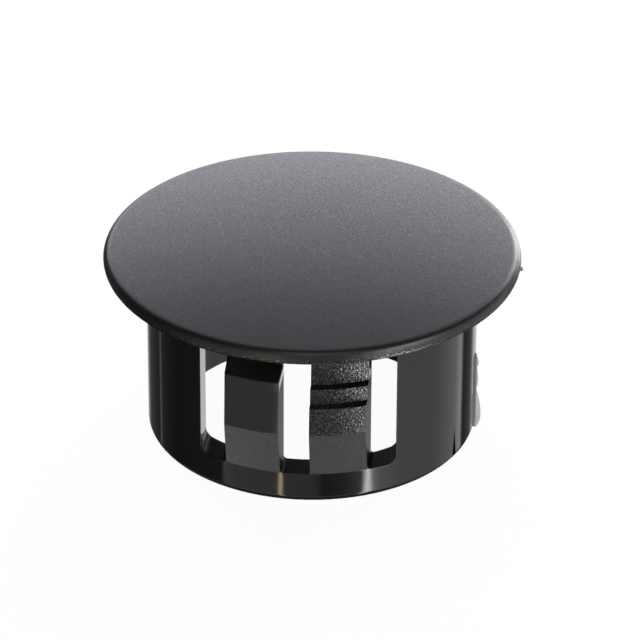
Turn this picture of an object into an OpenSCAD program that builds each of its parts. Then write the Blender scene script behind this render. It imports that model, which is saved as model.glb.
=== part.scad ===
// Snap-in blanking plug: a domed head that covers a panel hole, and a hollow
// barrel with two slide-moulded bays of locking fingers. One moulded piece.
// The plug stands on the lower edge of its barrel, at z = 0, with the crown up.
// The bays face -Y and +Y, along the pull of the mould's two slides.

/* [Head] */
// Diameter of the head over its rim
head_d = 19.8; // [18.8:0.1:24]
// Thickness of the head at its full-round rim
rim_t = 0.7; // [0.5:0.05:1.2]
// Rise of the dome from the rim to the crown
dome_rise = 0.9; // [0.7:0.05:1.6]
// Wall of the crown over the hollow
crown_t = 1.1; // [0.8:0.05:1.3]

/* [Barrel] */
// Diameter of the panel hole that the plug closes
hole_d = 16; // [14:0.1:16.8]
// Clearance between the barrel and the hole, on the diameter
hole_clearance = 0.25; // [0.1:0.05:0.5]
// Wall of the barrel
barrel_wall = 1.3; // [1:0.05:1.5]
// Length of the barrel below the head
barrel_l = 8.6; // [7.7:0.01:11]
// Height of the closed ring under the windows
ring_h = 1.59; // [1:0.01:2]
// Rounding of the ring's lower outer edge
foot_edge = 0.35; // [0.1:0.05:0.45]

/* [Bays] */
// Width of a bay at the outside of the barrel
bay_w = 9.2; // [8.6:0.05:10.4]
// Draft on the faces that lie along the pull, in degrees
pull_draft = 1.5; // [1:0.5:4]
// Fillet where a bay's end wall meets the sill
sill_fillet = 0.4; // [0.1:0.05:0.5]

/* [Fingers] */
// Width of a finger across its outer face
finger_w = 2.6; // [2.1:0.05:2.8]
// Gap between the two fingers of a bay
finger_gap = 1.4; // [1.2:0.05:2]
// Flare of a finger at its root
root_flare = 0.2; // [0.1:0.05:0.3]
// How far the crease of a finger stands out from the barrel
crease_out = 0.8; // [0.6:0.05:1]
// Inward lean of the faces above the crease, in degrees
finger_lean = 8; // [4:0.5:10]
// Height from the crease to the lowest ledge
land_h = 1.32; // [0.6:0.02:1.6]

/* [Grip] */
// Panel thickness held under the plain finger's flat top
panel_thin = 1.85; // [1.2:0.05:2.3]
// Panel thickness held by the stepped finger's upper ledge
panel_mid = 2.39; // [2.2:0.01:2.8]
// Panel thickness held by the stepped finger's lower ledge
panel_thick = 3.1; // [2.95:0.05:3.6]
// Depth of each ledge
ledge_depth = 0.46; // [0.3:0.02:0.5]
// Clearance between the stepped finger's tip and the head
tip_gap = 0.55; // [0.3:0.05:1]

/* [Hidden] */
$fn = 96;

plug_colour = "#1c1c1f";
rim_steps = 16;
dome_steps = 24;
foot_steps = 6;

// How far a fillet's circle is sunk into the faces that it joins, as a share of its radius
fillet_sink = 0.02;

// Barrel
barrel_r = (hole_d - hole_clearance) / 2;
hollow_r = barrel_r - barrel_wall;

// How far the barrel is let into the head, and a finger into the ring
tongue_h = rim_t / 2;
root_depth = ring_h / 2;
join_inset = barrel_wall / 4;

// Head: the dome is tangent to the rim's half circle
rim_r = rim_t / 2;
rim_centre = [head_d / 2 - rim_r, barrel_l + rim_r];
dome_arm = (pow(rim_centre.x, 2) + pow(dome_rise, 2)) / (2 * dome_rise);
dome_r = dome_arm + rim_r;
dome_centre = [0, rim_centre.y + dome_rise - dome_arm];
dome_edge = 90 - asin(rim_centre.x / dome_arm);
crown_z = dome_centre.y + dome_r;

// Ceiling of the hollow: it springs from the top of the barrel
ceiling_rise = crown_z - crown_t - barrel_l;
ceiling_r = (pow(hollow_r, 2) + pow(ceiling_rise, 2)) / (2 * ceiling_rise);
ceiling_centre = [0, barrel_l + ceiling_rise - ceiling_r];
ceiling_edge = acos(hollow_r / ceiling_r);

// Bays and fingers, in plan: u runs across a bay, v outward along the pull
bay_edge_v = sqrt(pow(barrel_r, 2) - pow(bay_w / 2, 2));
bay_start_v = hollow_r / 2;
bay_reach = head_d / 2;
finger_reach = barrel_r + 2 * crease_out;
finger_core_r = hollow_r - barrel_wall;
draft_slope = tan(pull_draft);
finger_sides = [-1, 1];

// Heights of the fingers' creases, ledges and ends
low_ledge_z = barrel_l - panel_thick;
high_ledge_z = barrel_l - panel_mid;
crease_z = low_ledge_z - land_h;
plain_top_z = barrel_l - panel_thin;
tip_z = barrel_l - tip_gap;

// Outer radii of the fingers, which lean in above the crease
crease_r = barrel_r + crease_out;
lean_slope = tan(finger_lean);
function leaned_r(z) = crease_r - (z - crease_z) * lean_slope;

// Root, lead-in ramp and crease, which all fingers share, from the inside out
finger_foot = [
    [finger_core_r, ring_h - root_depth],
    [barrel_r - join_inset, ring_h - root_depth],
    [barrel_r, ring_h],
    [crease_r, crease_z]
];

// Points of an arc in the r-z plane
function arc(centre, radius, from, to, steps) = [
    for (i = [0 : steps])
        let (angle = from + (to - from) * i / steps)
            centre + radius * [cos(angle), sin(angle)]
];

// All but the first point of a list
function rest_of(points) = [for (i = [1 : len(points) - 1]) points[i]];

// Half width of a bay at a distance v from the axis
function bay_half(v) = bay_w / 2 + (v - bay_edge_v) * draft_slope;

// Edges of a finger at a distance v from the axis: near the bay's middle, and away from it
function finger_near(v) = finger_gap / 2 - (barrel_r - v) * draft_slope;
function finger_far(v) = finger_gap / 2 + finger_w + (barrel_r - v) * draft_slope;

// Domed head with a flat seat and a full-round rim
module head() {
    rim = arc(rim_centre, rim_r, -90, dome_edge, rim_steps);
    dome = arc(dome_centre, dome_r, dome_edge, 90, dome_steps);
    rotate_extrude()
        polygon(concat([[0, barrel_l]], rim, rest_of(dome)));
}

// Barrel before it is hollowed, with a rounded foot, let into the head by a tongue
module barrel_blank() {
    foot = arc([barrel_r - foot_edge, foot_edge], foot_edge, -90, 0, foot_steps);
    tongue_z = barrel_l + tongue_h;
    rotate_extrude()
        polygon(concat([[0, 0]], foot, [
            [barrel_r, barrel_l],
            [barrel_r - join_inset, tongue_z],
            [0, tongue_z]
        ]));
}

// Hollow of the barrel, from its open mouth to its arched ceiling
module hollow() {
    ceiling = arc(ceiling_centre, ceiling_r, ceiling_edge, 90, dome_steps);
    rotate_extrude()
        polygon(concat([
            [0, -foot_edge],
            [hollow_r, -foot_edge],
            [hollow_r, barrel_l]
        ], rest_of(ceiling)));
}

// Fillet in the corner between the sill and an upright face, along the pull.
// It fills towards +u where side is 1, and towards -u where side is -1.
module root_fillet(u, v, turn, side, radius) {
    sunk = radius * (1 - fillet_sink);
    translate([u, -v, ring_h])
        rotate([90, 0, turn])
            linear_extrude(height = 2 * barrel_r, center = true)
                difference() {
                    square(2 * radius, center = true);
                    translate([side * sunk, sunk])
                        circle(r = radius);
                }
}

// Space that one slide of the mould clears in the barrel, with filleted corners
module bay_space() {
    top_z = barrel_l + 2 * tongue_h;
    difference() {
        translate([0, 0, ring_h])
            linear_extrude(height = top_z - ring_h)
                polygon([
                    [-bay_half(bay_start_v), -bay_start_v],
                    [bay_half(bay_start_v), -bay_start_v],
                    [bay_half(bay_reach), -bay_reach],
                    [-bay_half(bay_reach), -bay_reach]
                ]);
        for (side = finger_sides) {
            root_fillet(side * bay_w / 2, bay_edge_v, side * pull_draft, -side, sill_fillet);
            root_fillet(side * finger_near(barrel_r), barrel_r, side * pull_draft, -side, root_flare);
            root_fillet(side * finger_far(barrel_r), barrel_r, -side * pull_draft, side, root_flare);
        }
    }
}

// Upright slab that bounds a finger, on the side of the bay that is given
module finger_slab(side) {
    linear_extrude(height = barrel_l)
        polygon([
            [side * finger_near(0), 0],
            [side * finger_far(0), 0],
            [side * finger_far(finger_reach), -finger_reach],
            [side * finger_near(finger_reach), -finger_reach]
        ]);
}

// Finger with a plain face and a flat top
module plain_finger(side) {
    intersection() {
        rotate_extrude()
            polygon(concat(finger_foot, [
                [leaned_r(plain_top_z), plain_top_z],
                [finger_core_r, plain_top_z]
            ]));
        finger_slab(side);
    }
}

// Finger with two ledges, for two more panel thicknesses
module stepped_finger(side) {
    intersection() {
        rotate_extrude()
            polygon(concat(finger_foot, [
                [leaned_r(low_ledge_z), low_ledge_z],
                [leaned_r(low_ledge_z) - ledge_depth, low_ledge_z],
                [leaned_r(high_ledge_z) - ledge_depth, high_ledge_z],
                [leaned_r(high_ledge_z) - 2 * ledge_depth, high_ledge_z],
                [leaned_r(tip_z) - 2 * ledge_depth, tip_z],
                [finger_core_r, tip_z]
            ]));
        finger_slab(side);
    }
}

// Copies a shape from the front slide to the back one
module both_slides() {
    for (turn = [0, 180])
        rotate([0, 0, turn])
            children();
}

module blanking_plug() {
    color(plug_colour)
        difference() {
            union() {
                head();
                difference() {
                    barrel_blank();
                    both_slides()
                        bay_space();
                }
                both_slides() {
                    plain_finger(-1);
                    stepped_finger(1);
                }
            }
            hollow();
        }
}

blanking_plug();
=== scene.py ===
"""Dresses a snap-in blanking plug in moulded black nylon and stands it in a white light tent.

The shared frame is in metres. Sizes that belong to the plug are written in millimetres.
"""

import logging
import math
from dataclasses import dataclass, field
from enum import Enum
from typing import Any, Mapping, Sequence

import bpy
from mathutils import Matrix, Vector


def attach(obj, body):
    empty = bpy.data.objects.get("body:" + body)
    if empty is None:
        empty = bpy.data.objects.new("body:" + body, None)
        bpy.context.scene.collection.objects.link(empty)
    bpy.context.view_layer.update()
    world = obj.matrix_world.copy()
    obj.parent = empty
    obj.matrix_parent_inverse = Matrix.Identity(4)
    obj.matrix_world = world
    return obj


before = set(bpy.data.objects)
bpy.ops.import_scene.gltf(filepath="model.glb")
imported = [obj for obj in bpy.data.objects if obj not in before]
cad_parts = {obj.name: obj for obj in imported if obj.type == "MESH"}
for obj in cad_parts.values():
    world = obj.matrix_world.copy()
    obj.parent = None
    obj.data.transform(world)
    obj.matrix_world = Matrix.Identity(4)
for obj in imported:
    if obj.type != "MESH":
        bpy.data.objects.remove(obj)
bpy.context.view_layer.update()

log = logging.getLogger("blanking_plug")

MM = 0.001
HALF_TURN = 180.0
PICTURE_SIDE_PX = 640

# Noise lies evenly about its mean. A second, finer layer is detail enough.
NOISE_MEAN = 0.5
NOISE_DETAIL = 1.0
BEVEL_SAMPLES = 6
# Sockets of a Mix node that mixes colours.
MIX_FACTOR, MIX_A, MIX_B, MIX_RESULT = 0, 6, 7, 2
# Factors that drop a point's height and keep its place in plan.
FLATTEN = (1.0, 1.0, 0.0)
# Least part of the normal that points out from the axis, or along X, on a face that faces that way.
FACES_OUT = 0.6
FACES_SIDEWAYS = 0.9
# Tells a mask's 0 from its 1.
MASK_LIMIT = 0.5
# Watts that an area lamp of one square metre takes for a radiance of 1.
LAMP_WATTS = 4.0

# One comparison in a mask: the operation, the socket and its limit.
Test = tuple[str, bpy.types.NodeSocket, float]


def linear(code: str) -> tuple[float, float, float]:
    """Turns an sRGB hex colour into linear light.

    Args:
        code: Colour written as "#rrggbb".

    Returns:
        The red, green and blue parts, from 0 to 1.
    """
    parts = [int(code[i:i + 2], 16) / 255 for i in (1, 3, 5)]
    r, g, b = (p / 12.92 if p <= 0.04045 else ((p + 0.055) / 1.055) ** 2.4 for p in parts)
    return r, g, b


def add_node(
    tree: bpy.types.NodeTree,
    kind: str,
    settings: Mapping[str, Any] | None = None,
    inputs: Mapping[Any, Any] | None = None,
) -> bpy.types.Node:
    """Adds one shader node with its settings, constant inputs and links.

    Args:
        tree: Node tree that takes the node.
        kind: Type name of the node.
        settings: Values of the node's own properties.
        inputs: Input name or number to a constant, or to the output socket that feeds it.

    Returns:
        The new node.
    """
    node = tree.nodes.new(kind)
    for name, value in (settings or {}).items():
        setattr(node, name, value)
    for name, value in (inputs or {}).items():
        if isinstance(value, bpy.types.NodeSocket):
            tree.links.new(value, node.inputs[name])
        else:
            node.inputs[name].default_value = value
    return node


def bearing(azimuth: float, elevation: float) -> Vector:
    """Gives the unit vector of a direction seen from the plug.

    Args:
        azimuth: Degrees from the front (-Y), growing towards +X.
        elevation: Degrees above the floor.

    Returns:
        The direction in the shared frame.
    """
    a, e = math.radians(azimuth), math.radians(elevation)
    return Vector((math.sin(a) * math.cos(e), -math.cos(a) * math.cos(e), math.sin(e)))


@dataclass(frozen=True)
class PlugSizes:
    """Sizes of the plug that its finish depends on, in millimetres.

    A name in z is a height above the foot, and a name in x is a distance from the plane X = 0.
    """

    seat_z: float = 8.6
    crease_z: float = 4.18
    sill_z: float = 1.59
    sill_fillet: float = 0.4
    bay_half_w: float = 4.7
    barrel_r: float = 7.875
    head_r: float = 9.9
    rim_r: float = 0.35
    plain_top_z: float = 6.75
    # The zone of a plain finger's top starts this far under it and ends this far under the seat.
    top_zone: float = 0.5
    finger_inner_x: float = 0.65
    finger_outer_x: float = 3.4
    foot_h: float = 0.3
    nick_x: float = 7.14
    nick_half_w: float = 0.08
    nick_h: float = 1.8


class Face(Enum):
    """Kinds of face that the mould gave a finish of their own."""

    HEAD = "head"
    RIM = "upright side of the head's rim"
    STEPPED = "outer face of a stepped finger"
    PLAIN_TOP = "upper end of a plain finger"
    RAMP = "lead-in ramp of a finger"
    SIDE = "side of a finger"
    SILL = "sill of a window, with its fillets"
    # Painted shade: the floor's contact shadow, drawn on the foot by taking away its reflection.
    FOOT_SHADE = "rounded lower edge of the barrel"
    # Painted shade: a dark wedge at the front right of the barrel's lower edge, drawn by taking away its
    # reflection.
    NICK_SHADE = "nick in the barrel's lower edge"


@dataclass(frozen=True)
class Texture:
    """How a face is moulded: its gloss, the depth of its grain and the rounding of its edges in mm.

    The shine is 0.5 on a clean face. The speckle is how far single grains gain or lose shine.
    """

    roughness: float
    depth_mm: float = 0.0
    edge_mm: float = 0.07
    shine: float = 0.5
    speckle: float = 0.0


@dataclass(frozen=True)
class Place:
    """Sockets that say where on the plug a point lies, in millimetres, and which way it faces."""

    spot: bpy.types.NodeSocket
    across: bpy.types.NodeSocket
    along: bpy.types.NodeSocket
    hand: bpy.types.NodeSocket
    height: bpy.types.NodeSocket
    radius: bpy.types.NodeSocket
    outward: bpy.types.NodeSocket
    sideways: bpy.types.NodeSocket


@dataclass(frozen=True)
class MouldedNylon:
    """Black nylon (PA66), injection moulded.

    Carbon black leaves almost no body colour, so the eye gets the surface alone. The head and the
    stepped fingers come from spark-eroded steel, which breaks reflections into a fine matte grain.
    The barrel comes from polished steel and mirrors its surroundings, with slight shrinkage waves.
    The fingers' sides and the sills come from plainly milled steel and look duller. Beside that, the
    sides' reflection is dimmed as painted shade of the shaded floor inside the barrel, and the foot's
    reflection is all but taken away as painted shade of the floor's contact shadow.
    """

    name: str = "nylon_black_spark_eroded"
    colour: str = "#1a1a1c"
    ior: float = 1.53
    polished: Texture = Texture(0.08)
    textures: Mapping[Face, Texture] = field(default_factory=lambda: {
        Face.HEAD: Texture(0.37, 0.003, speckle=0.17),
        Face.RIM: Texture(0.3, 0.012, speckle=0.4),
        Face.STEPPED: Texture(0.27, 0.02, shine=0.66, speckle=0.45),
        Face.PLAIN_TOP: Texture(0.1, edge_mm=0.2),
        Face.RAMP: Texture(0.25, 0.003, speckle=0.1),
        # Partly painted shade: besides the rougher finish, the sides' lowered shine dims their reflection,
        # for the shaded floor inside the barrel.
        Face.SIDE: Texture(0.42, shine=0.4),
        Face.SILL: Texture(0.35, shine=0.16),
        # Painted shade: the foot's reflection is all but taken away, for the floor's contact shadow under it.
        Face.FOOT_SHADE: Texture(0.3, shine=0.02),
        # Painted shade: the wedge's reflection is taken away, so it shows dark.
        Face.NICK_SHADE: Texture(0.6, shine=0.0),
    })
    # Spark erosion is finer than this. It is drawn as coarse as the photo's pixels, so that it shows.
    grain_mm: float = 0.075
    # The higher this is, the fewer and brighter the grains that glint.
    glint_power: float = 4.0
    # Painted glint: share by which the head's speckle gains per millimetre towards the back, where
    # the back light grazes it. The grain itself is alike all over.
    painted_glint_gain: float = 0.085
    wave_mm: float = 1.8
    wave_depth_mm: float = 0.0012
    # The head rolls over towards its rim, whose lower half stands upright.
    shoulder_w_mm: float = 0.1
    shoulder_drop_mm: float = 0.008

    def material(self, plug: PlugSizes) -> bpy.types.Material:
        """Makes the material, with each kind of face in its own texture.

        Args:
            plug: Sizes that place the faces.

        Returns:
            The new material.
        """
        made = bpy.data.materials.new(self.name)
        made.use_nodes = True
        tree = made.node_tree
        shader = tree.nodes["Principled BSDF"]
        shader.inputs["Base Color"].default_value = (*linear(self.colour), 1)
        shader.inputs["IOR"].default_value = self.ior
        place = self._place(tree)
        masks = self._masks(tree, place, plug)
        grain = add_node(tree, "ShaderNodeTexNoise", inputs={
            "Vector": place.spot,
            "Scale": 1 / self.grain_mm,
            "Detail": NOISE_DETAIL,
        })
        level = add_node(tree, "ShaderNodeMath", {"operation": "MULTIPLY"}, {
            0: grain.outputs["Fac"],
            1: 1 / NOISE_MEAN,
        })
        peaks = add_node(tree, "ShaderNodeMath", {"operation": "POWER"}, {
            0: level.outputs[0],
            1: self.glint_power,
        })
        glint = add_node(tree, "ShaderNodeMath", {"operation": "SUBTRACT"}, {0: peaks.outputs[0], 1: 1.0})
        # Painted glint: on the head the speckle grows towards the back, for the back light that grazes it
        # there.
        rear_glint = add_node(tree, "ShaderNodeMath", {"operation": "MULTIPLY"}, {
            0: place.along,
            1: masks[Face.HEAD],
        })
        gain = add_node(tree, "ShaderNodeMath", {"operation": "MULTIPLY_ADD"}, {
            0: rear_glint.outputs[0],
            1: self.painted_glint_gain,
            2: 1.0,
        })
        amount = add_node(tree, "ShaderNodeMath", {"operation": "MULTIPLY"}, {
            0: self._blend(tree, masks, "speckle"),
            1: gain.outputs[0],
        })
        sparkle = add_node(tree, "ShaderNodeMath", {"operation": "MULTIPLY_ADD"}, {
            0: glint.outputs[0],
            1: amount.outputs[0],
            2: self._blend(tree, masks, "shine"),
        })
        shine = add_node(tree, "ShaderNodeMath", {"operation": "MAXIMUM"}, {0: sparkle.outputs[0], 1: 0.0})
        grain_h = add_node(tree, "ShaderNodeMath", {"operation": "MULTIPLY"}, {
            0: grain.outputs["Fac"],
            1: self._blend(tree, masks, "depth_mm"),
        })
        rounded = self._rounded(tree, masks[Face.RIM], self._blend(tree, masks, "edge_mm"))
        tree.links.new(self._blend(tree, masks, "roughness"), shader.inputs["Roughness"])
        tree.links.new(shine.outputs[0], shader.inputs["Specular IOR Level"])
        tree.links.new(self._relief(tree, place, plug, grain_h.outputs[0], rounded), shader.inputs["Normal"])
        return made

    def _blend(
        self, tree: bpy.types.NodeTree, masks: Mapping[Face, bpy.types.NodeSocket], field_name: str
    ) -> bpy.types.NodeSocket:
        """Gives one value of the texture of whichever face a point lies on.

        Args:
            tree: Material's node tree.
            masks: For each kind of face, a socket with 1 on it and 0 elsewhere.
            field_name: Name of the texture's field.

        Returns:
            A socket with the value.
        """
        base = getattr(self.polished, field_name)
        total: Any = base
        for face, mask in masks.items():
            total = add_node(tree, "ShaderNodeMath", {"operation": "MULTIPLY_ADD"}, {
                0: mask,
                1: getattr(self.textures[face], field_name) - base,
                2: total,
            }).outputs[0]
        return total

    def _place(self, tree: bpy.types.NodeTree) -> Place:
        """Finds where on the plug a point lies.

        Args:
            tree: Material's node tree.

        Returns:
            The sockets that say so.
        """
        where = add_node(tree, "ShaderNodeTexCoord")
        spot = add_node(tree, "ShaderNodeVectorMath", {"operation": "SCALE"}, {
            0: where.outputs["Object"],
            "Scale": 1 / MM,
        })
        axes = add_node(tree, "ShaderNodeSeparateXYZ", inputs={0: spot.outputs["Vector"]})
        flat = add_node(tree, "ShaderNodeVectorMath", {"operation": "MULTIPLY"}, {
            0: spot.outputs["Vector"],
            1: FLATTEN,
        })
        radius = add_node(tree, "ShaderNodeVectorMath", {"operation": "LENGTH"}, {0: flat.outputs["Vector"]})
        out = add_node(tree, "ShaderNodeVectorMath", {"operation": "NORMALIZE"}, {0: flat.outputs["Vector"]})
        face = add_node(tree, "ShaderNodeNewGeometry")
        facing = add_node(tree, "ShaderNodeVectorMath", {"operation": "DOT_PRODUCT"}, {
            0: face.outputs["True Normal"],
            1: out.outputs["Vector"],
        })
        turned = add_node(tree, "ShaderNodeSeparateXYZ", inputs={0: face.outputs["True Normal"]})
        sideways = add_node(tree, "ShaderNodeMath", {"operation": "ABSOLUTE"}, {0: turned.outputs["X"]})
        across = add_node(tree, "ShaderNodeMath", {"operation": "ABSOLUTE"}, {0: axes.outputs["X"]})
        hand = add_node(tree, "ShaderNodeMath", {"operation": "MULTIPLY"}, {
            0: axes.outputs["X"],
            1: axes.outputs["Y"],
        })
        return Place(
            spot.outputs["Vector"],
            across.outputs[0],
            axes.outputs["Y"],
            hand.outputs[0],
            axes.outputs["Z"],
            radius.outputs["Value"],
            facing.outputs["Value"],
            sideways.outputs[0],
        )

    def _masks(
        self, tree: bpy.types.NodeTree, place: Place, plug: PlugSizes
    ) -> dict[Face, bpy.types.NodeSocket]:
        """Finds the faces with a texture.

        Args:
            tree: Material's node tree.
            place: Where on the plug a point lies.
            plug: Sizes that place the faces.

        Returns:
            For each kind of face, a socket with 1 on it and 0 elsewhere.
        """
        edge = self.polished.edge_mm
        rim = self._where(tree, [
            ("GREATER_THAN", place.radius, plug.head_r - plug.rim_r),
            ("GREATER_THAN", place.height, plug.seat_z - edge),
            ("LESS_THAN", place.height, plug.seat_z + plug.rim_r),
        ])
        aside = add_node(tree, "ShaderNodeMath", {"operation": "SUBTRACT"}, {0: place.across, 1: plug.nick_x})
        offset = add_node(tree, "ShaderNodeMath", {"operation": "ABSOLUTE"}, {0: aside.outputs[0]})
        tapered = add_node(tree, "ShaderNodeMath", {"operation": "MULTIPLY_ADD"}, {
            0: place.height,
            1: plug.nick_half_w / plug.nick_h,
            2: offset.outputs[0],
        })
        # Painted shade: the dark wedge, narrowing upwards from the barrel's lower edge.
        nick_shade = self._where(tree, [
            ("LESS_THAN", tapered.outputs[0], plug.nick_half_w),
            ("LESS_THAN", place.along, 0.0),
            ("LESS_THAN", place.hand, 0.0),
            ("GREATER_THAN", place.outward, FACES_OUT),
        ])
        finger_face: list[Test] = [
            ("GREATER_THAN", place.across, plug.finger_inner_x),
            ("LESS_THAN", place.across, plug.finger_outer_x),
            ("GREATER_THAN", place.outward, FACES_OUT),
        ]
        return {
            Face.HEAD: self._where(tree, [
                ("GREATER_THAN", place.height, plug.seat_z - edge),
                ("LESS_THAN", rim, MASK_LIMIT),
            ]),
            Face.RIM: rim,
            Face.STEPPED: self._where(tree, [
                *finger_face,
                ("LESS_THAN", place.hand, 0.0),
                ("GREATER_THAN", place.height, plug.crease_z),
                ("LESS_THAN", place.height, plug.seat_z - edge),
            ]),
            Face.PLAIN_TOP: self._where(tree, [
                ("LESS_THAN", place.across, plug.finger_outer_x),
                ("GREATER_THAN", place.hand, 0.0),
                ("GREATER_THAN", place.height, plug.plain_top_z - plug.top_zone),
                ("LESS_THAN", place.height, plug.seat_z - plug.top_zone),
            ]),
            Face.RAMP: self._where(tree, [
                *finger_face,
                ("GREATER_THAN", place.radius, plug.barrel_r + edge),
                ("LESS_THAN", place.height, plug.crease_z),
            ]),
            Face.SIDE: self._where(tree, [
                ("LESS_THAN", place.across, plug.finger_outer_x + edge),
                ("GREATER_THAN", place.sideways, FACES_SIDEWAYS),
                ("GREATER_THAN", place.height, plug.sill_z + plug.sill_fillet),
                ("LESS_THAN", place.height, plug.plain_top_z - plug.top_zone),
            ]),
            Face.SILL: self._where(tree, [
                ("LESS_THAN", place.across, plug.bay_half_w),
                ("LESS_THAN", place.outward, FACES_OUT),
                ("GREATER_THAN", place.height, plug.sill_z - edge),
                ("LESS_THAN", place.height, plug.sill_z + plug.sill_fillet),
            ]),
            # Painted shade: the rounded foot, where the floor's contact shadow is drawn.
            Face.FOOT_SHADE: self._where(tree, [
                ("GREATER_THAN", place.radius, plug.barrel_r - plug.foot_h),
                ("LESS_THAN", place.height, plug.foot_h),
                ("LESS_THAN", nick_shade, MASK_LIMIT),
            ]),
            Face.NICK_SHADE: nick_shade,
        }

    def _where(self, tree: bpy.types.NodeTree, tests: Sequence[Test]) -> bpy.types.NodeSocket:
        """Gives 1 where all tests hold, and 0 elsewhere.

        Args:
            tree: Material's node tree.
            tests: Comparisons, each as an operation, a socket and a limit.

        Returns:
            A socket with 1 or 0.
        """
        passed: Any = 1.0
        for operation, value, limit in tests:
            test = add_node(tree, "ShaderNodeMath", {"operation": operation}, {0: value, 1: limit})
            product = add_node(tree, "ShaderNodeMath", {"operation": "MULTIPLY"}, {
                0: test.outputs[0],
                1: passed,
            })
            passed = product.outputs[0]
        return passed

    def _rounded(
        self, tree: bpy.types.NodeTree, rim: bpy.types.NodeSocket, edge: bpy.types.NodeSocket
    ) -> bpy.types.NodeSocket:
        """Rounds the edges, and stands the lower half of the rim upright.

        Args:
            tree: Material's node tree.
            rim: Socket with 1 on the lower half of the rim.
            edge: Rounding of the edges in millimetres.

        Returns:
            The new normal.
        """
        radius = add_node(tree, "ShaderNodeMath", {"operation": "MULTIPLY"}, {0: edge, 1: MM})
        rounded = add_node(tree, "ShaderNodeBevel", {"samples": BEVEL_SAMPLES}, {"Radius": radius.outputs[0]})
        kept = add_node(tree, "ShaderNodeMath", {"operation": "SUBTRACT"}, {0: 1.0, 1: rim})
        scale = add_node(tree, "ShaderNodeCombineXYZ", inputs={"X": 1.0, "Y": 1.0, "Z": kept.outputs[0]})
        upright = add_node(tree, "ShaderNodeVectorMath", {"operation": "MULTIPLY"}, {
            0: rounded.outputs["Normal"],
            1: scale.outputs["Vector"],
        })
        normal = add_node(tree, "ShaderNodeVectorMath", {"operation": "NORMALIZE"}, {
            0: upright.outputs["Vector"],
        })
        return normal.outputs["Vector"]

    def _relief(
        self,
        tree: bpy.types.NodeTree,
        place: Place,
        plug: PlugSizes,
        grain_h: bpy.types.NodeSocket,
        normal: bpy.types.NodeSocket,
    ) -> bpy.types.NodeSocket:
        """Adds the grain, the shrinkage waves and the head's shoulder as a bump.

        Args:
            tree: Material's node tree.
            place: Where on the plug a point lies.
            plug: Sizes that place the shoulder.
            grain_h: Height of the grain in millimetres.
            normal: Normal that takes the bump.

        Returns:
            The bumped normal.
        """
        wave = add_node(tree, "ShaderNodeTexNoise", inputs={
            "Vector": place.spot,
            "Scale": 1 / self.wave_mm,
            "Detail": NOISE_DETAIL,
        })
        waved = add_node(tree, "ShaderNodeMath", {"operation": "MULTIPLY_ADD"}, {
            0: wave.outputs["Fac"],
            1: self.wave_depth_mm,
            2: grain_h,
        })
        start = plug.head_r - plug.rim_r - self.shoulder_w_mm
        way = add_node(tree, "ShaderNodeMath", {"operation": "SUBTRACT"}, {0: place.radius, 1: start})
        past = add_node(tree, "ShaderNodeMath", {"operation": "MAXIMUM"}, {0: way.outputs[0], 1: 0.0})
        square = add_node(tree, "ShaderNodeMath", {"operation": "POWER"}, {0: past.outputs[0], 1: 2.0})
        height = add_node(tree, "ShaderNodeMath", {"operation": "MULTIPLY_ADD"}, {
            0: square.outputs[0],
            1: -self.shoulder_drop_mm / self.shoulder_w_mm ** 2,
            2: waved.outputs[0],
        })
        bump = add_node(tree, "ShaderNodeBump", inputs={
            "Height": height.outputs[0],
            "Distance": MM,
            "Normal": normal,
        })
        return bump.outputs["Normal"]


@dataclass(frozen=True)
class PaintedPaleFlash:
    """Nylon squeezed into the gap between two parts of the mould, thin as a feather.

    Its root is still thick enough to be dark. Past that it is torn and light comes through it, and its
    near-white colour is painted highlight, for the bright light that the thin fin catches, so the eye
    gets a grey line with a pale, dull edge.
    """

    name: str = "nylon_flash_painted_pale"
    # Painted highlight: near-white for the bright light that the thin torn part catches; the nylon itself is
    # black.
    colour: str = "#f4f4f8"
    root_colour: str = "#707075"
    root_w_mm: float = 0.09
    root_cover: float = 0.6
    roughness: float = 0.6
    transmission: float = 0.9
    cover: float = 0.55

    def material(self, root_r: float) -> bpy.types.Material:
        """Makes the material.

        Args:
            root_r: Radius of the face that the flash stands on, in millimetres.

        Returns:
            The new material.
        """
        made = bpy.data.materials.new(self.name)
        made.use_nodes = True
        tree = made.node_tree
        shader = tree.nodes["Principled BSDF"]
        where = add_node(tree, "ShaderNodeTexCoord")
        flat = add_node(tree, "ShaderNodeVectorMath", {"operation": "MULTIPLY"}, {
            0: where.outputs["Object"],
            1: FLATTEN,
        })
        radius = add_node(tree, "ShaderNodeVectorMath", {"operation": "LENGTH"}, {0: flat.outputs["Vector"]})
        # Painted highlight: the torn outer part takes the near-white colour and lets light through.
        torn = add_node(tree, "ShaderNodeMath", {"operation": "GREATER_THAN"}, {
            0: radius.outputs["Value"],
            1: (root_r + self.root_w_mm) * MM,
        })
        hue = add_node(tree, "ShaderNodeMix", {"data_type": "RGBA"}, {
            MIX_FACTOR: torn.outputs[0],
            MIX_A: (*linear(self.root_colour), 1),
            MIX_B: (*linear(self.colour), 1),
        })
        clear = add_node(tree, "ShaderNodeMath", {"operation": "MULTIPLY"}, {
            0: torn.outputs[0],
            1: self.transmission,
        })
        cover = add_node(tree, "ShaderNodeMath", {"operation": "MULTIPLY_ADD"}, {
            0: torn.outputs[0],
            1: self.cover - self.root_cover,
            2: self.root_cover,
        })
        shader.inputs["Roughness"].default_value = self.roughness
        tree.links.new(hue.outputs[MIX_RESULT], shader.inputs["Base Color"])
        tree.links.new(clear.outputs[0], shader.inputs["Transmission Weight"])
        tree.links.new(cover.outputs[0], shader.inputs["Alpha"])
        return made


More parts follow.
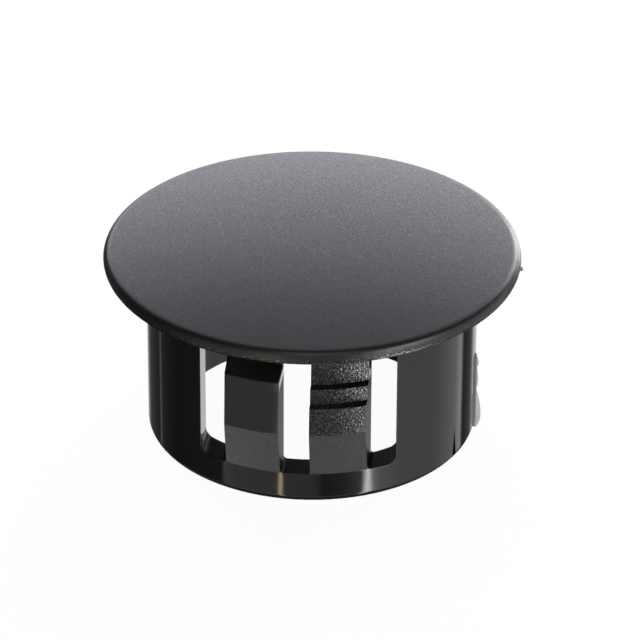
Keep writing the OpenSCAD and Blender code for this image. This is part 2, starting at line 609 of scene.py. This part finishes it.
@dataclass
class BlankingPlug:
    """The moulding itself: the frame's one node, with its finish and the flash left on it.

    The flash stands on the parting line near +X. Its outlines run from top to bottom, as heights
    and as distances out from the barrel and from the rim.
    """

    sizes: PlugSizes
    nylon: MouldedNylon
    painted_pale_flash: PaintedPaleFlash
    node: str = "blanking_plug"
    slot: str = "moulded_nylon"
    flash_t_mm: float = 0.06
    flash_sunk_mm: float = 0.12
    barrel_flash_azimuth: float = 88.0
    barrel_flash: tuple[tuple[float, float], ...] = (
        (4.15, 0.04), (3.95, 0.1), (3.7, 0.16), (3.55, 0.17), (3.4, 0.1), (3.1, 0.13), (2.7, 0.17),
        (2.4, 0.14), (2.15, 0.08), (1.9, 0.15), (1.5, 0.24), (1.0, 0.31), (0.6, 0.31), (0.3, 0.25),
        (0.05, 0.1),
    )
    rim_flash_azimuth: float = 90.0
    rim_flash: tuple[tuple[float, float], ...] = ((8.84, 0.0), (8.8, 0.1), (8.68, 0.12), (8.62, -0.02))

    def dress(self) -> bpy.types.Object:
        """Puts the nylon on the plug.

        Returns:
            The plug's object.
        """
        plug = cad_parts[self.node]
        plug.data.materials.clear()
        plug.data.materials.append(self.nylon.material(self.sizes))
        return plug

    def flash(
        self, name: str, azimuth: float, root_r: float, edge: Sequence[tuple[float, float]]
    ) -> bpy.types.Object:
        """Adds a thin fin of flash, where two parts of the mould met.

        Args:
            name: Name of the piece.
            azimuth: Degrees from the front (-Y), growing towards +X.
            root_r: Radius of the face that it stands on, in millimetres.
            edge: Its outline.

        Returns:
            The fin.
        """
        sunk_r = root_r - self.flash_sunk_mm
        outline = [(root_r + proud, z) for z, proud in edge]
        outline += [(sunk_r, edge[-1][0]), (sunk_r, edge[0][0])]
        half = self.flash_t_mm / 2
        count = len(outline)
        out, aside = bearing(azimuth, 0.0), bearing(azimuth + HALF_TURN / 2, 0.0)
        verts = [(out * r + aside * s + Vector((0, 0, z))) * MM for s in (half, -half) for r, z in outline]
        faces = [tuple(range(count)), tuple(range(2 * count - 1, count - 1, -1))]
        faces += [(i, count + i, count + (i + 1) % count, (i + 1) % count) for i in range(count)]
        mesh = bpy.data.meshes.new(name)
        mesh.from_pydata(verts, [], faces)
        mesh.materials.append(self.painted_pale_flash.material(root_r))
        fin = bpy.data.objects.new(name, mesh)
        bpy.context.scene.collection.objects.link(fin)
        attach(fin, "root")
        return fin


class Side(Enum):
    """Sides of the tent, by their bearing in degrees from the front."""

    FRONT = 5.6
    FRONT_RIGHT = 56.0
    BACK_RIGHT = 156.0
    BACK = 180.0
    # The roof leans in over the back. A degree keeps it apart, since each value has one name.
    ROOF = 181.0


@dataclass(frozen=True)
class Panel:
    """One lit cloth panel of the tent, which faces the plug."""

    side: Side
    elevation: float
    width_mm: float
    height_mm: float
    radiance: float
    colour: str = "#ffffff"

    def hang(self, reach_mm: float) -> bpy.types.Object:
        """Hangs the panel at a distance from the plug.

        Args:
            reach_mm: The distance.

        Returns:
            The panel's light.
        """
        data = bpy.data.lights.new(f"panel_{self.side.name.lower()}", "AREA")
        data.shape = "RECTANGLE"
        data.size = self.width_mm * MM
        data.size_y = self.height_mm * MM
        data.color = linear(self.colour)
        data.energy = LAMP_WATTS * self.radiance * data.size * data.size_y
        light = bpy.data.objects.new(data.name, data)
        toward = bearing(self.side.value, self.elevation)
        light.location = toward * reach_mm * MM
        light.rotation_euler = toward.to_track_quat("Z", "Y").to_euler()
        light.visible_camera = False
        bpy.context.scene.collection.objects.link(light)
        return light


@dataclass(frozen=True)
class Floor:
    """A white board under the plug, which the eye sees as white with a light shadow."""

    size_mm: float = 1600.0
    colour: str = "#e4e4e4"
    # The camera sees an even glow, and a faint lit share that keeps the shadow.
    seen_glow: float = 0.96
    seen_lit: float = 0.09

    def lay(self) -> bpy.types.Object:
        """Lays the board.

        Returns:
            The board.
        """
        half = self.size_mm * MM / 2
        corners = [(-half, -half, 0), (half, -half, 0), (half, half, 0), (-half, half, 0)]
        mesh = bpy.data.meshes.new("floor")
        mesh.from_pydata(corners, [], [(0, 1, 2, 3)])
        mesh.materials.append(self._material())
        floor = bpy.data.objects.new("floor", mesh)
        bpy.context.scene.collection.objects.link(floor)
        floor.visible_glossy = False
        return floor

    def _material(self) -> bpy.types.Material:
        """Makes the board's material.

        Returns:
            The new material.
        """
        made = bpy.data.materials.new("floor_white_board")
        made.use_nodes = True
        made.cycles.emission_sampling = "NONE"
        tree = made.node_tree
        tree.nodes.clear()
        ray = add_node(tree, "ShaderNodeLightPath")
        lit = add_node(tree, "ShaderNodeBsdfDiffuse", inputs={"Color": (*linear(self.colour), 1)})
        faint = add_node(tree, "ShaderNodeBsdfDiffuse", inputs={"Color": (*[self.seen_lit] * 3, 1)})
        white = add_node(tree, "ShaderNodeEmission", inputs={"Strength": self.seen_glow})
        seen = add_node(tree, "ShaderNodeAddShader", inputs={0: faint.outputs[0], 1: white.outputs[0]})
        board = add_node(tree, "ShaderNodeMixShader", inputs={
            0: ray.outputs["Is Camera Ray"],
            1: lit.outputs[0],
            2: seen.outputs[0],
        })
        add_node(tree, "ShaderNodeOutputMaterial", inputs={"Surface": board.outputs[0]})
        return made


@dataclass(frozen=True)
class Band:
    """One place on the tent's lower cloth, which the upright walls mirror: its bearing and radiance."""

    bearing: float
    radiance: float
    colour: str = "#ffffff"

    def light(self) -> tuple[float, float, float, float]:
        """Gives the band's colour times its radiance."""
        r, g, b = linear(self.colour)
        return r * self.radiance, g * self.radiance, b * self.radiance, 1.0


@dataclass
class LightTent:
    """A white floor, lit cloth panels round the plug, and the cloth below that its walls mirror."""

    reach_mm: float = 320.0
    fill: float = 0.08
    nadir: float = 0.92
    # Heights on a sphere of radius 1. From the first to the second, the dim cloth above turns into the
    # bands below, and from the third to the fourth, these turn into the plain cloth under the plug.
    bands_from: float = 0.25
    bands_full: float = -0.1
    nadir_from: float = -0.6
    nadir_full: float = -0.85
    floor: Floor = field(default_factory=Floor)
    panels: tuple[Panel, ...] = (
        Panel(Side.FRONT, 32.0, 150.0, 260.0, 0.95),
        Panel(Side.FRONT_RIGHT, 3.0, 110.0, 70.0, 9.0, "#fffaf2"),
        Panel(Side.BACK, 18.0, 620.0, 230.0, 1.58, "#f6f4ff"),
        Panel(Side.BACK_RIGHT, 2.0, 90.0, 260.0, 4.0),
        Panel(Side.ROOF, 56.0, 620.0, 250.0, 0.5, "#f6f4ff"),
    )
    cloth: tuple[Band, ...] = (
        Band(-180.0, 1.0), Band(-163.4, 0.6), Band(-151.4, 0.1), Band(-128.1, 0.05), Band(-127.4, 0.5),
        Band(-126.4, 0.5), Band(-125.6, 0.08), Band(-104.4, 0.035), Band(-60.4, 0.09), Band(-57.9, 0.7),
        Band(-49.4, 0.5), Band(-17.9, 0.48), Band(-17.0, 7.0, "#ffe6cc"), Band(-15.5, 6.0, "#ffdcb8"),
        Band(-14.4, 0.45), Band(8.6, 0.38), Band(14.1, 0.09), Band(28.6, 0.2), Band(41.1, 0.5),
        Band(44.4, 10.0), Band(47.0, 9.0), Band(50.1, 2.0), Band(55.6, 1.25), Band(71.6, 0.84),
        Band(100.6, 0.63), Band(126.6, 0.78), Band(134.1, 1.25), Band(135.9, 0.8), Band(137.8, 0.04),
        Band(154.6, 0.15), Band(162.6, 0.85), Band(180.0, 1.0),
    )

    def pitch(self) -> None:
        """Sets up the floor, the panels and the cloth."""
        self.floor.lay()
        for panel in self.panels:
            panel.hang(self.reach_mm)
        self._surround()

    def _surround(self) -> None:
        """Closes the tent with dim cloth above and lit cloth below, which the camera sees as white."""
        world = bpy.data.worlds.new("tent_cloth")
        world.use_nodes = True
        world.cycles.sampling_method = "NONE"
        tree = world.node_tree
        tree.nodes.clear()
        ray = add_node(tree, "ShaderNodeLightPath")
        toward = add_node(tree, "ShaderNodeTexCoord")
        axes = add_node(tree, "ShaderNodeSeparateXYZ", inputs={0: toward.outputs["Generated"]})
        below = add_node(tree, "ShaderNodeMapRange", {"interpolation_type": "SMOOTHSTEP"}, {
            "Value": axes.outputs["Z"],
            "From Min": self.bands_from,
            "From Max": self.bands_full,
        })
        steep = add_node(tree, "ShaderNodeMapRange", {"interpolation_type": "SMOOTHSTEP"}, {
            "Value": axes.outputs["Z"],
            "From Min": self.nadir_from,
            "From Max": self.nadir_full,
        })
        lower = add_node(tree, "ShaderNodeMix", {"data_type": "RGBA"}, {
            MIX_FACTOR: steep.outputs["Result"],
            MIX_A: self._cloth(tree, axes),
            MIX_B: (self.nadir, self.nadir, self.nadir, 1),
        })
        hue = add_node(tree, "ShaderNodeMix", {"data_type": "RGBA"}, {
            MIX_FACTOR: below.outputs["Result"],
            MIX_A: (self.fill, self.fill, self.fill, 1),
            MIX_B: lower.outputs[MIX_RESULT],
        })
        cloth = add_node(tree, "ShaderNodeBackground", inputs={"Color": hue.outputs[MIX_RESULT]})
        white = add_node(tree, "ShaderNodeBackground", inputs={"Color": (1, 1, 1, 1)})
        surround = add_node(tree, "ShaderNodeMixShader", inputs={
            0: ray.outputs["Is Camera Ray"],
            1: cloth.outputs[0],
            2: white.outputs[0],
        })
        add_node(tree, "ShaderNodeOutputWorld", inputs={"Surface": surround.outputs[0]})
        bpy.context.scene.world = world

    def _cloth(self, tree: bpy.types.NodeTree, axes: bpy.types.Node) -> bpy.types.NodeSocket:
        """Gives the lower cloth's light by its bearing from the front.

        Args:
            tree: World's node tree.
            axes: Node that gives the parts of a direction.

        Returns:
            A colour socket.
        """
        front = add_node(tree, "ShaderNodeMath", {"operation": "MULTIPLY"}, {0: axes.outputs["Y"], 1: -1.0})
        angle = add_node(tree, "ShaderNodeMath", {"operation": "ARCTAN2"}, {
            0: axes.outputs["X"],
            1: front.outputs[0],
        })
        turn = add_node(tree, "ShaderNodeMapRange", inputs={
            "Value": angle.outputs[0],
            "From Min": -math.pi,
            "From Max": math.pi,
        })
        ramp = add_node(tree, "ShaderNodeValToRGB", inputs={"Fac": turn.outputs["Result"]})
        stops = ramp.color_ramp.elements
        stops[0].color = self.cloth[0].light()
        stops[-1].color = self.cloth[-1].light()
        for band in self.cloth[1:-1]:
            stops.new((band.bearing + HALF_TURN) / (2 * HALF_TURN)).color = band.light()
        return ramp.outputs["Color"]


@dataclass(frozen=True)
class PhotoCamera:
    """The camera that stands where the photograph was taken."""

    azimuth: float = 5.6
    elevation: float = 30.5
    distance_mm: float = 217.8
    target_z_mm: float = 4.377
    focal_px: float = 4548.6
    target_px: tuple[float, float] = (311.91, 337.17)
    roll: float = 0.24
    sensor_mm: float = 36.0

    def stand(self) -> bpy.types.Object:
        """Sets up the camera and makes it the scene's.

        Returns:
            The camera.
        """
        data = bpy.data.cameras.new("photo_camera")
        data.sensor_width = self.sensor_mm
        data.lens = self.focal_px * self.sensor_mm / PICTURE_SIDE_PX
        data.shift_x = (PICTURE_SIDE_PX / 2 - self.target_px[0]) / PICTURE_SIDE_PX
        data.shift_y = (self.target_px[1] - PICTURE_SIDE_PX / 2) / PICTURE_SIDE_PX
        camera = bpy.data.objects.new("photo_camera", data)
        toward = bearing(self.azimuth, self.elevation)
        turn = toward.to_track_quat("Z", "Y").to_matrix().to_4x4()
        place = Matrix.Translation(Vector((0, 0, self.target_z_mm * MM)) + toward * self.distance_mm * MM)
        camera.matrix_world = place @ turn @ Matrix.Rotation(math.radians(self.roll), 4, "Z")
        bpy.context.scene.collection.objects.link(camera)
        bpy.context.scene.camera = camera
        return camera


def main() -> None:
    """Builds the scene in order and reports each piece."""
    logging.basicConfig(level=logging.INFO, format="%(name)s: %(message)s")
    bpy.context.scene.view_settings.view_transform = "Standard"
    camera = PhotoCamera().stand()
    log.info("camera %s", camera.name)
    sizes = PlugSizes()
    moulding = BlankingPlug(sizes, MouldedNylon(), PaintedPaleFlash())
    plug = moulding.dress()
    log.info("plug %s", plug.name)
    for name, azimuth, root_r, edge in (
        ("flash_barrel", moulding.barrel_flash_azimuth, sizes.barrel_r, moulding.barrel_flash),
        ("flash_rim", moulding.rim_flash_azimuth, sizes.head_r, moulding.rim_flash),
    ):
        fin = moulding.flash(name, azimuth, root_r, edge)
        log.info("flash %s", fin.name)
    LightTent().pitch()
    log.info("light tent")


if __name__ == "__main__":
    main()
